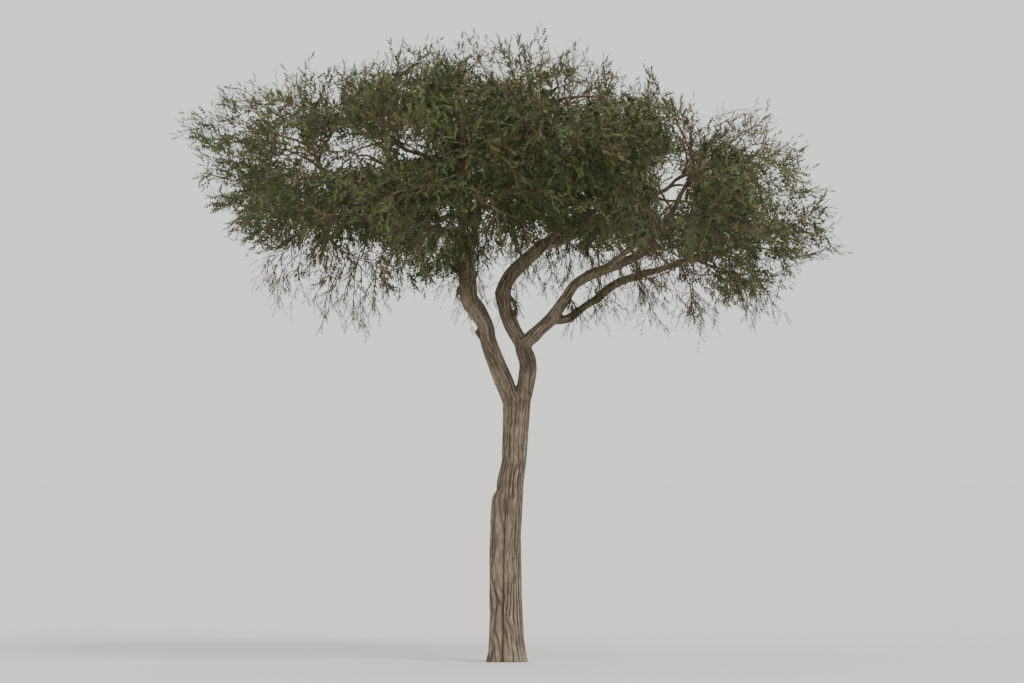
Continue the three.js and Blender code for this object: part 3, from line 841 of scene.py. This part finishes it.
bark, net = new_material("weathered_bark_with_painted_shade")
place = add_node(net, "TexCoord").outputs["Object"]
# How deep each point lies in a split or in the groove beside the old stem, read from the mesh. Below, it
# paints shade into the colour.
fissure = add_node(net, "Attribute", attribute_name="fissure").outputs["Fac"]
drawn_out = add_node(net, "Mapping", {"Vector": place, "Scale": (1, 1, 0.18)}).outputs["Vector"]
blotches = spread_out(net, noise_at(net, place, blotch, 3.0), 0.35, 0.65)
streaks = spread_out(net, noise_at(net, drawn_out, 2 * grain, 6.0), 0.4, 0.75)
plates = mix_colours(net, blotches, linear("#6d6151"), linear("#8b8171"))
streaked = mix_colours(net, streaks, plates, linear("#564837"))
# Painted shade: the deeper a point lies in a split or in the groove beside the old stem, the darker its
# colour.
split = mix_colours(net, fissure, streaked, linear("#382c22"))
height = noise_at(net, drawn_out, grain, 8.0)
relief = add_node(net, "Bump", {"Height": height, "Strength": 0.6, "Distance": 3 * mm}).outputs["Normal"]
end_net(net, "BsdfPrincipled", {"Base Color": split, "Roughness": 0.92, "IOR": 1.45, "Normal": relief})
print("bark nodes:", len(net.nodes))

# %% [markdown]
# ### Twig bark and leaves
# Young wood is smoother and browner. The leaves are opaque and matt, and a waxy bloom makes their green dull.
# Each leaf colour is one plain material with slight mottling, and the sprays share the colours out, as sun
# and shade leaves do on the tree.

# %% Twig and leaf materials
twig_mottle = 40 * mm
leaf_mottle = 350 * mm


def mottled(name, dark, light, size, roughness, ior):
    """A material whose colour drifts between two, in blotches of a size in metres."""
    material, net = new_material(name)
    place = add_node(net, "TexCoord").outputs["Object"]
    tint = mix_colours(net, noise_at(net, place, size, 4.0), linear(dark), linear(light))
    end_net(net, "BsdfPrincipled", {"Base Color": tint, "Roughness": roughness, "IOR": ior})
    return material


young = mottled("young_bark", "#3f3327", "#6b5a46", twig_mottle, 0.85, 1.45)
# For each kind of leaf: its dark and light tone, and its share of the sprays.
leaf_colours = {
    "leaves_shade": ("#272e18", "#353e20", 0.27),
    "leaves_olive": ("#343d1e", "#454f29", 0.27),
    "leaves_sun": ("#444d27", "#575f33", 0.26),
    "leaves_dry": ("#4b482a", "#605a36", 0.2),
}
leaf_materials = [mottled(name, *tones, leaf_mottle, 0.7, 1.42) for name, (*tones, _) in leaf_colours.items()]
print("leaf materials:", len(leaf_materials))

# %% [markdown]
# ## Bark relief
# Old bark is a braid of ridges. The furrows between them run along the stem, wander, meet and part again. Two
# families of wandering lines make such a braid. The lines of one are evenly spaced round the stem, and there
# is a whole number of them, so that the pattern closes. The other family has fewer and is twisted.

# %% Furrows and lumps
# For each family: its share of the lines, its twist in lines a metre, and its depth.
families = ((1.0, 0.0, 1.0), (0.7, 1.4, 0.75))
# How far lines wander, in lines, and the width and length of those bends, in spacings.
wander = ((1.6, 3, 11), (0.8, 1.2, 4))
# The width and length of shallow stretches, in spacings, the values of their random field between which they
# give way to full depth, and how deep the furrows still are in them.
shallow_size = (2, 8)
shallow_edges = (0.3, 0.6)
shallow_depth = 0.25
# A furrow is deepest up to the first distance from its line, and ends at the second, in spacings.
furrow_edges = (0.03, 0.3)


def furrows(angle, along, radius, spacing, seed):
    """How deep each place lies in a furrow, from 0 to 1. A place's phase counts lines round the stem, shifted
    by random fields that are long and narrow like the bark, and a furrow is where the phase is near a whole
    number. Another field makes each furrow shallow in places."""
    angle, along = np.broadcast_arrays(angle, along)

    def field(width, length, part):
        flat = np.stack([np.cos(angle), np.sin(angle)], -1) * radius / (width * spacing)
        return noise(np.concatenate([flat, along[..., None] / (length * spacing)], -1), seed + part)

    depth = np.zeros(angle.shape)
    for part, (share, twist, strength) in enumerate(families):
        count = round(share * 2 * np.pi * radius / spacing)
        phase = count * angle / (2 * np.pi) + twist * along
        for k, (amount, width, length) in enumerate(wander):
            phase = phase + amount * (field(width, length, 3 * part + k) - 0.5)
        off = np.abs(phase - np.round(phase))
        deepness = smooth_step(*shallow_edges, field(*shallow_size, 3 * part + 2))
        strength = strength * mix(shallow_depth, 1, deepness)
        depth = np.maximum(depth, strength * (1 - smooth_step(*furrow_edges, off)))
    return depth


def lumps(angle, along, scale_round, scale_along, amount, seed):
    """Broad lumps, as a share of a stem's radius: the amount times a random field's distance from its middle
    value. The field is read on a cylinder, so the lumps close round the stem."""
    places = [np.cos(angle) * scale_round, np.sin(angle) * scale_round, along * scale_along]
    return amount * (noise(np.stack(np.broadcast_arrays(*places), -1), seed) - 0.5)


# %% [markdown]
# ## The trunk
# The trunk leans and thins up to its fork, where it turns oval because two stems begin in it. An old second
# stem is fused to its left side and ends in a rounded shoulder, and the foot spreads in low root ridges.

# %% Trunk sizes, in metres
# Rows of [height, x of the middle, radius, depth as a share of the width].
trunk_rows = np.array([
    [0, 0.01, 0.196, 0.96], [0.8, 0.002, 0.178, 0.96], [1.5, 0.004, 0.166, 0.96],
    [2.15, 0.04, 0.163, 0.94], [2.4, 0.085, 0.151, 0.94], [2.75, 0.104, 0.157, 0.88],
    [3.05, 0.116, 0.166, 0.78], [3.18, 0.122, 0.172, 0.66],
])
# The old stem on the left is a rib with this middle beside the trunk's.
rib_centre = np.array([-0.115, -0.095])
rib_radius = 0.098
rib_top = 2.06
rib_shoulder = 0.17
flare_height = 0.17
flare_share = 0.2
flare_ridges = 5
flare_ridge_share = 0.07
# A dome closes the top, up to a small hole.
trunk_top = 3.25
dome_height = 0.13
dome_open = 0.995
# The radius and spacing of the furrows and their seed, and the scales, amount and seed of the lumps.
trunk_bark = (0.165, 0.045, 3)
trunk_lumps = (1.6, 2.2, 0.03, 9)
furrow_depth = 0.012
groove_width = 0.014
groove_depth = 0.016


def trunk_at(height):
    """The x of the trunk's middle, its radius and its share of depth at heights, between the rows."""
    return [np.interp(height, trunk_rows[:, 0], trunk_rows[:, k]) for k in (1, 2, 3)]


def trunk_outline(height, angle, radius, depth_share):
    """How far the rib and the flare push the skin out from the plain oval, as a factor, and how deep a place
    lies in the groove beside the rib. The rib is a circle beside the oval: its far edge lies where a ray from
    the middle leaves it, and the groove is where that edge crosses the oval."""
    x, y = np.cos(angle) * radius, np.sin(angle) * radius * depth_share
    plain = np.hypot(x, y)
    fullness = np.clip((rib_top - height) / rib_shoulder, 0, 1)
    rib = rib_radius * np.sqrt(1 - (1 - fullness) ** 2)
    ahead = (rib_centre[0] * x + rib_centre[1] * y) / plain
    across = (rib_centre[0] * y - rib_centre[1] * x) / plain
    hit = (ahead > 0) & (np.abs(across) < rib)
    edge = np.where(hit, ahead + np.sqrt(np.maximum(rib**2 - across**2, 0)), 0)
    groove = hit * fullness * np.exp(-(((edge - plain) / groove_width) ** 2))
    spread = flare_share + flare_ridge_share * np.cos(flare_ridges * angle)
    return np.maximum(plain, edge) / plain * (1 + spread * np.exp(-height / flare_height)), groove


def trunk_skin(height, angle, relief):
    """Points on the trunk at heights and angles, and how deep each lies in a furrow or groove. Broad lumps
    keep it from looking turned on a lathe, and a dome closes its top. Relief is 0 for a plain skin and 1 for
    bark."""
    middle, radius, depth_share = trunk_at(height)
    closing = np.sqrt(1 - np.clip((height - trunk_top + dome_height) / dome_height, 0, dome_open) ** 2)
    outline, groove = trunk_outline(height, angle, radius, depth_share)
    depth = furrows(angle, height, *trunk_bark)
    reach = radius * outline * closing * (1 + lumps(angle, height, *trunk_lumps))
    reach = reach - relief * (furrow_depth * depth * (1 - groove) + groove_depth * groove)
    points = [middle + np.cos(angle) * reach, np.sin(angle) * reach * depth_share, height]
    return np.stack(np.broadcast_arrays(*points), -1), np.maximum(depth, groove)


def trunk_tube(low, high, rings, sides, relief):
    """The trunk between two heights as a closed tube, and how deep its points lie in a furrow. Each end is
    closed by the middle of its ring."""
    grid, fissure = trunk_skin(np.linspace(low, high, rings)[:, None], angles_round(sides), relief)
    ends = [np.array([[trunk_at(height)[0], 0, height]]) for height in (low, high)]
    return skins(grid[None], *ends), np.append(fissure.ravel(), [0, 0])


# %% Trunk mesh
# The trunk's bark ends inside the skin of the limbs, which starts a little lower.
trunk_end = 2.7
trunk_rings, trunk_sides = 400, 236

tube, fissure = trunk_tube(0, trunk_end, trunk_rings, trunk_sides, 1.0)
# The depth in a furrow or groove goes to the bark material, which paints shade there.
add_piece("bark_trunk", *tube, bark, "bark", ["trunk"], fissure=fissure)

# %% [markdown]
# ## The bare limbs
# Tubes that only poke into each other look like pipes. On a tree the wood of trunk and limb is one, with a
# round hollow between them. So the plain tubes are melted together first: a voxel remesh puts one closed skin
# round them all, and smoothing rounds its creases. Bark comes last. Each point of the skin asks every limb
# how near it is, and takes its furrows from the limbs around it, the nearest counting most.

# %% Plain tubes of the limbs, in metres
limb_step = 0.02
limb_sides = 48
limb_lumps = (1.3, 7, 0.13)
limb_tip_length = 0.5
limb_tip_radius = 0.018
tip_power = 0.7
# The top of the trunk, as a plain tube.
fork_start = 2.56
fork_rings, fork_sides = 70, 96
# Short broken stubs, as [start, end, radius at the start, radius at the end].
stubs = [
    ([-0.19, -0.045, 3.77], [-0.374, -0.06, 3.955], 0.07, 0.034),
    ([-0.04, 0.11, 4.4], [-0.094, 0.105, 4.45], 0.08, 0.062),
]
stub_shares = np.linspace(0, 1, 9)[:, None]
stub_sides = 20
deep = np.array([0, 1.0, 0])


def limb_course(rows):
    """Places along a limb's line: point, slope, radius and length so far."""
    length = length_of(through(rows[:, :3], samples))
    shares = np.linspace(0, 1, round(length / limb_step))
    places = through(rows, shares)
    return places[:, :3], slope_through(rows[:, :3], shares), places[:, 3], shares * length


def with_tip(line, slopes, radii, along):
    """The same places, running on straight past the last one, for a limb that enters the crown. The tip thins
    from the limb's last radius by a power of the share of its length."""
    ahead = np.arange(limb_step, limb_tip_length, limb_step)
    tip = line[-1] + ahead[:, None] * slopes[-1]
    tip_radii = mix(radii[-1], limb_tip_radius, (ahead / limb_tip_length) ** tip_power)
    return (np.concatenate([line, tip]), np.concatenate([slopes, np.repeat(slopes[-1:], len(ahead), axis=0)]),
            np.concatenate([radii, tip_radii]), np.concatenate([along, along[-1] + ahead]))


def tube_round(line, slopes, radii):
    """A closed tube round a line, with one radius for each point of each ring."""
    return skins(rings_round(line, slopes, deep, radii)[None], line[:1], line[-1:])


courses = {name: limb_course(rows) for name, rows in limbs.items()}
courses = {name: with_tip(*course) if name in grows_from else course for name, course in courses.items()}
tubes = []
for k, (line, slopes, radii, along) in enumerate(courses.values()):
    lumpy = 1 + lumps(angles_round(limb_sides), along[:, None], *limb_lumps, 20 + 7 * k)
    tubes.append(tube_round(line, slopes, radii[:, None] * lumpy))
for foot, tip, foot_radius, tip_radius in stubs:
    line = mix(np.array(foot), np.array(tip), stub_shares)
    slopes = np.repeat(unit(line[-1:] - line[:1]), len(line), axis=0)
    tubes.append(tube_round(line, slopes, mix(foot_radius, tip_radius, stub_shares) * np.ones(stub_sides)))
tube, _ = trunk_tube(fork_start, trunk_top, fork_rings, fork_sides, 0.0)
tubes.append(tube)
print("tubes:", len(tubes))

# %% Melt the tubes into one skin
voxel = 0.0081
smooth_steps = 10

points, faces = join(tubes)
plain = bpy.data.meshes.new("plain_limbs")
plain.from_pydata(points.tolist(), [], faces.tolist())
melting = add_object("plain_limbs", plain)
remesh = melting.modifiers.new("melt", "REMESH")
remesh.mode = "VOXEL"
remesh.voxel_size = voxel
smoothing = melting.modifiers.new("smooth", "SMOOTH")
smoothing.factor = 0.5
smoothing.iterations = smooth_steps
melted = bpy.data.meshes.new_from_object(melting.evaluated_get(bpy.context.evaluated_depsgraph_get()))
bpy.data.objects.remove(melting)
melted.calc_loop_triangles()
skin = np.zeros((len(melted.vertices), 3), dtype=np.float32)
normals = np.zeros_like(skin)
faces = np.zeros((len(melted.loop_triangles), 3), dtype=np.int32)
melted.vertices.foreach_get("co", skin.ravel())
melted.vertex_normals.foreach_get("vector", normals.ravel())
melted.loop_triangles.foreach_get("vertices", faces.ravel())
print("melted skin:", len(skin), "points")

# %% Bark on the melted skin
blend_reach = 0.012
# The spacing of a limb's furrows: a length, and a share of its radius.
limb_spacing = (0.02, 0.14)
# Furrows get shallower with the radius, raised to this power.
depth_power = 0.8


def bark_of(course, seed):
    """For each point of the skin: the distance to the limb's own surface, the depth of its furrow there, and
    the limb's radius. The nearest place on the limb's line gives the length along it, and the angle round it.
    Every second place on the line is enough."""
    line, slopes, radii, along = (values[::2] for values in course)
    k = ((skin**2).sum(1)[:, None] - 2 * skin @ line.T + (line**2).sum(1)).argmin(axis=1)
    away = skin - line[k]
    ahead = (away * slopes[k]).sum(1)
    away = away - ahead[:, None] * slopes[k]
    side = unit(np.cross(deep, slopes))[k]
    angle = np.arctan2((away * np.cross(slopes[k], side)).sum(1), (away * side).sum(1))
    distance = np.hypot(np.linalg.norm(away, axis=1) - radii[k], np.maximum(np.abs(ahead) - limb_step, 0))
    spacing = limb_spacing[0] + limb_spacing[1] * radii.mean()
    return distance, furrows(angle, along[k] + ahead, radii.mean(), spacing, seed), radii[k]


def bark_of_trunk():
    """The same for the trunk, whose rings lie flat."""
    middle, radius, depth_share = trunk_at(skin[:, 2])
    x, y = skin[:, 0] - middle, skin[:, 1] / depth_share
    distance = np.abs(np.hypot(x, y) - radius) + np.maximum(skin[:, 2] - trunk_top + dome_height, 0)
    return distance, furrows(np.arctan2(y, x), skin[:, 2], *trunk_bark), radius


found = [bark_of(course, 40 + 10 * k) for k, course in enumerate(courses.values())] + [bark_of_trunk()]
distances, depths, radii = (np.array(values) for values in zip(*found))
weights = np.exp((distances.min(axis=0) - distances) / blend_reach)
weights = weights / weights.sum(axis=0)
fissure = (weights * depths).sum(axis=0)
depth = furrow_depth * fissure * ((weights * radii).sum(axis=0) / trunk_bark[0]) ** depth_power
# The depth in a furrow goes to the bark material, which paints shade there.
add_piece("bark_limbs", skin - normals * depth[:, None], faces, bark, "bark", list(limbs), fissure=fissure)

# %% [markdown]
# ## Boughs, branches and twigs
# The boughs inside the crown are thick enough to show their bark between the leaves, so they get splits too,
# and a collar where they leave their parent. Everything thinner is plain tapering wood: a few sides and a few
# rings are enough for something that is thinner than a finger.

# %% Boughs inside the crown
bough_sides = 26
bough_end = 0.014
bough_bark = (0.05, 0.04)
bough_furrow_share = 0.07
bough_lumps = (1.3, 6, 0.25)
# A collar's radius as a share of its parent's, the most that it adds, and how soon it fades, in metres.
collar_share = 0.95
collar_most = 0.3
collar_fade = 0.07


def bough_radii(bough, shares, length):
    """A bough's radii: even thinning to its stem and on to its end, times one plus a collar that fades with
    the distance from its parent's skin."""
    stem = (shares - bough["end"]) / (1 - bough["end"])
    before = mix(bough["foot"], bough_tip, shares / bough["end"])
    radii = np.where(shares < bough["end"], before, mix(bough_tip, bough_end, stem))
    parent = owner_radius(bough["owner"], bough["share"])
    collar = np.clip(collar_share * parent / bough["foot"] - 1, 0, collar_most)
    return radii * (1 + collar * np.exp(-np.maximum(0, shares * length - parent) / collar_fade))


bough_parts, fissures = [], []
angle = angles_round(bough_sides)
for mass, bough in boughs.items():
    curve = bough["curve"]
    length = length_of(bent(curve, samples))
    shares = np.linspace(0, 1, round(length / limb_step))
    line, slopes = crooked(bent(curve, shares)), slope_bent(curve, shares)
    along = (shares * length)[:, None]
    fissure = furrows(angle, along, *bough_bark, 100 + 10 * mass)
    uneven = 1 + lumps(angle, along, *bough_lumps, 80 + mass) - bough_furrow_share * fissure
    radii = bough_radii(bough, shares, length)[:, None] * uneven
    grid = rings_round(line, slopes, plane_of(curve), radii)
    bough_parts.append(skins(grid[None], line[:1], line[-1:]))
    fissures += [fissure.ravel(), [0, 0]]
bough_nodes = ["bough_" + name for name in mass_names]
# The depth in a furrow goes to the bark material, which paints shade there.
add_piece("bark_boughs", *join(bough_parts), bark, "bark", bough_nodes, fissure=np.concatenate(fissures))

# %% Branches, twigs and shoots
# Radii at foot and tip in metres, sides and rings.
hanging_wood = (0.008, 0.004, 3, 10)
side_wood = (0.005, 0.003, 3, 4)
shoot_wood = (0.003, 0.0018, 3, 2)

parts = [
    bent_wood(curves, *[kinds[kind][value] for value in ("foot", "tip", "sides", "rings")])
    for kind, curves in wood.items()
]
parts += [bent_wood(hanging, *hanging_wood), bent_wood(side_twigs, *side_wood)]
foliage_nodes = ["foliage_" + name for name in mass_names]
add_piece("twigs", *join(parts), young, "bark", foliage_nodes)
add_piece("shoots", *bent_wood(shoots, *shoot_wood), young, "bark")

# %% [markdown]
# ## Leaves
# An acacia leaf is a feather of small feathers. Here it has three pairs of leaflets, each one triangle, on a
# stalk. It is 3 to 15 cm long, two or three times life size, because the real tree has several times as many.
# Nine leaves stand round each shoot, again a golden angle apart.

# %% Leaves on every shoot
leaves_per_shoot = 9
leaf_places = np.linspace(0.12, 1.0, leaves_per_shoot)
leaf_leans = np.linspace(0.9, 0.25, leaves_per_shoot)
# The turn from one shoot's leaves to the next one's, so that neighbours differ.
shoot_turn = 1.7
# A leaf's length: shares of its shoot's, the least in metres, and how much larger it is inside the crown,
# where it has to stand for more of the real ones.
leaf_share = (0.17, 0.27)
shortest_leaf = 0.032
inner_leaf = 1.3
# Leaves face up by this much, and stray from that by this much in each direction.
leaf_upward = 0.8
leaf_stray = 0.5
# Half width of the leaf at each pair of leaflets, and how far forward their tips reach, as shares of its
# length. The tips are raised by a share of the half width.
leaflet_reach = np.array([0.2, 0.24, 0.18])
leaflet_ahead = 0.21
leaflet_raised = 0.25
stalk_shares = np.linspace(0.08, 1, 4)
# Each leaflet joins a stretch of the stalk with its tip.
leaf_faces = np.array([[0, 1, 4], [1, 2, 5], [2, 3, 6], [1, 0, 7], [2, 1, 8], [3, 2, 9]])


def leaf_points(foot, along, across, size):
    """Ten points of each leaf: four along its stalk, then the tips of the right and left leaflets. A tip lies
    beside the middle of its stretch of stalk, further ahead, and slightly raised."""
    over = np.cross(along, across)
    stalk = foot[:, None] + (size * stalk_shares)[..., None] * along[:, None]
    middle = (stalk[:, 1:] + stalk[:, :-1]) / 2 + (size * leaflet_ahead)[..., None] * along[:, None]
    out = (size * leaflet_reach)[..., None]
    raised = leaflet_raised * out * over[:, None]
    right = middle + out * across[:, None] + raised
    left = middle - out * across[:, None] + raised
    return np.concatenate([stalk, right, left], axis=1)


foot = crooked(bent(shoots, leaf_places)).reshape(-1, 3)
turn = (np.arange(len(shoots))[:, None] * shoot_turn + np.arange(leaves_per_shoot) * golden_angle)[..., None]
along = unit(leaning(slope_bent(shoots, leaf_places), turn, leaf_leans[:, None])).reshape(-1, 3)
upward = np.array([0, 0, leaf_upward]) + draws.normal(0, leaf_stray, foot.shape)
across = unit(np.cross(along, upward))
shoot_length = np.repeat(np.linalg.norm(shoots[:, 2] - shoots[:, 0], axis=1), leaves_per_shoot)[:, None]
size = np.maximum(shortest_leaf, shoot_length * draws.uniform(*leaf_share, (len(foot), 1)))
size = size * mix(1, inner_leaf, fullness_at(foot)[:, None] ** 2)
leaves = leaf_points(foot, along, across, size)
print("leaves:", len(leaves), "longest:", round(size.max(), 3))

# %% Deal the colours out, one to each spray
shares = [share for *_, share in leaf_colours.values()]
colour_of_spray = draws.choice(len(shares), spray_count, p=shares)
colour_of_leaf = colour_of_spray[np.repeat(shoot_spray, leaves_per_shoot)]
for k, (name, material) in enumerate(zip(leaf_colours, leaf_materials)):
    chosen = leaves[colour_of_leaf == k]
    faces = (leaf_faces + (np.arange(len(chosen)) * chosen.shape[1])[:, None, None]).reshape(-1, 3)
    add_piece(name, chosen.reshape(-1, 3), faces, material, "foliage", smooth=False)

# %% [markdown]
# ## Studio
# A plain pale floor and soft light from large lamps, so that shape and surface can be judged. The camera
# stands where the viewer stood: level, at the eye height of somebody in a car, and far away. A long lens
# brings the tree up close without changing the angle it is seen from.

# %% Floor, lamps and world
floor_radius = 220
floor_corners = 96

corner = angles_round(floor_corners)
rim = np.column_stack([np.cos(corner), np.sin(corner), np.zeros(floor_corners)]) * floor_radius
mesh = bpy.data.meshes.new("floor")
mesh.from_pydata(rim.tolist(), [], [list(range(floor_corners))])
paper, net = new_material("pale_floor")
end_net(net, "BsdfDiffuse", {"Color": linear("#c9c7c2")})
mesh.materials.append(paper)
floor = add_object("floor", mesh)

world = bpy.data.worlds.new("studio")
world.use_nodes = True
sky = world.node_tree.nodes["Background"]
sky.inputs["Color"].default_value = linear("#f2f1ef")
sky.inputs["Strength"].default_value = 1.3
bpy.context.scene.world = world


def add_lamp(name, towards, softness, strength):
    """A lamp as far away as the sun and as wide as a large studio lamp: softness is its angle in degrees."""
    lamp = bpy.data.lights.new(name, "SUN")
    lamp.angle = np.radians(softness)
    lamp.energy = strength
    add_object(name, lamp).rotation_euler = Vector(towards).to_track_quat("-Z", "Y").to_euler()


add_lamp("key", (-0.6, 0.75, -0.9), 30, 2.6)
add_lamp("fill", (0.8, 0.6, -0.4), 60, 0.7)
add_lamp("back", (-0.1, -0.9, -0.8), 40, 0.8)

# %% Camera
picture_shape = 1024 / 683
frame_height = 8.15
target_height = 3.82

camera = bpy.data.cameras.new("camera")
camera.sensor_width = 36
camera.lens = camera.sensor_width * eye_distance / (frame_height * picture_shape)
camera.clip_end = 1000
viewer = add_object("camera", camera)
viewer.location = (crown_middle, -eye_distance, eye_height)
way = Vector((0, eye_distance, target_height - eye_height))
viewer.rotation_euler = way.to_track_quat("-Z", "Y").to_euler()
bpy.context.scene.camera = viewer
print("lens:", round(camera.lens), "mm")
